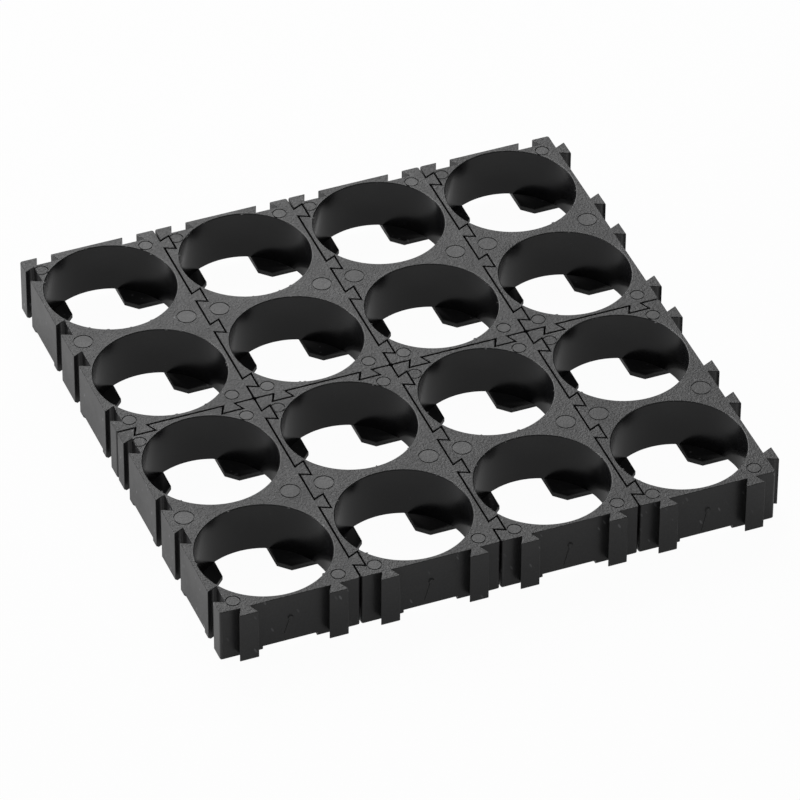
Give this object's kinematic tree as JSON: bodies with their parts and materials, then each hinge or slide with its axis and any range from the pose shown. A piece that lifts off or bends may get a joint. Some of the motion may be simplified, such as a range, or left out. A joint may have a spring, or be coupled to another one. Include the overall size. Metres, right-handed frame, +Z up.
{
  "type": "battery cell holder bracket",
  "caption": "Square grid holder for round 18650 cells, made of black moulded two-cell brackets joined by dovetails.",
  "frame": {"origin": "middle of the footprint, tails included, on the surface that the holder stands on", "axes": "+X to the right along the columns of brackets, the side with the tails; +Y from front to back; +Z up, along the bores"},
  "size_m": [0.082, 0.082, 0.0086],
  "materials": {
    "bracket_front_1": "black moulded ABS, fine matt texture",
    "bracket_front_2": "black moulded ABS, fine matt texture",
    "bracket_front_3": "black moulded ABS, fine matt texture",
    "bracket_front_4": "black moulded ABS, fine matt texture",
    "bracket_back_1": "black moulded ABS, fine matt texture",
    "bracket_back_2": "black moulded ABS, fine matt texture",
    "bracket_back_3": "black moulded ABS, fine matt texture",
    "bracket_back_4": "black moulded ABS, fine matt texture"
  },
  "bodies": {
    "root": {"bracket_front_1": "bracket_front_1", "bracket_front_2": "bracket_front_2", "bracket_front_3": "bracket_front_3", "bracket_front_4": "bracket_front_4", "bracket_back_1": "bracket_back_1", "bracket_back_2": "bracket_back_2", "bracket_back_3": "bracket_back_3", "bracket_back_4": "bracket_back_4"}
  },
  "joints": []
}
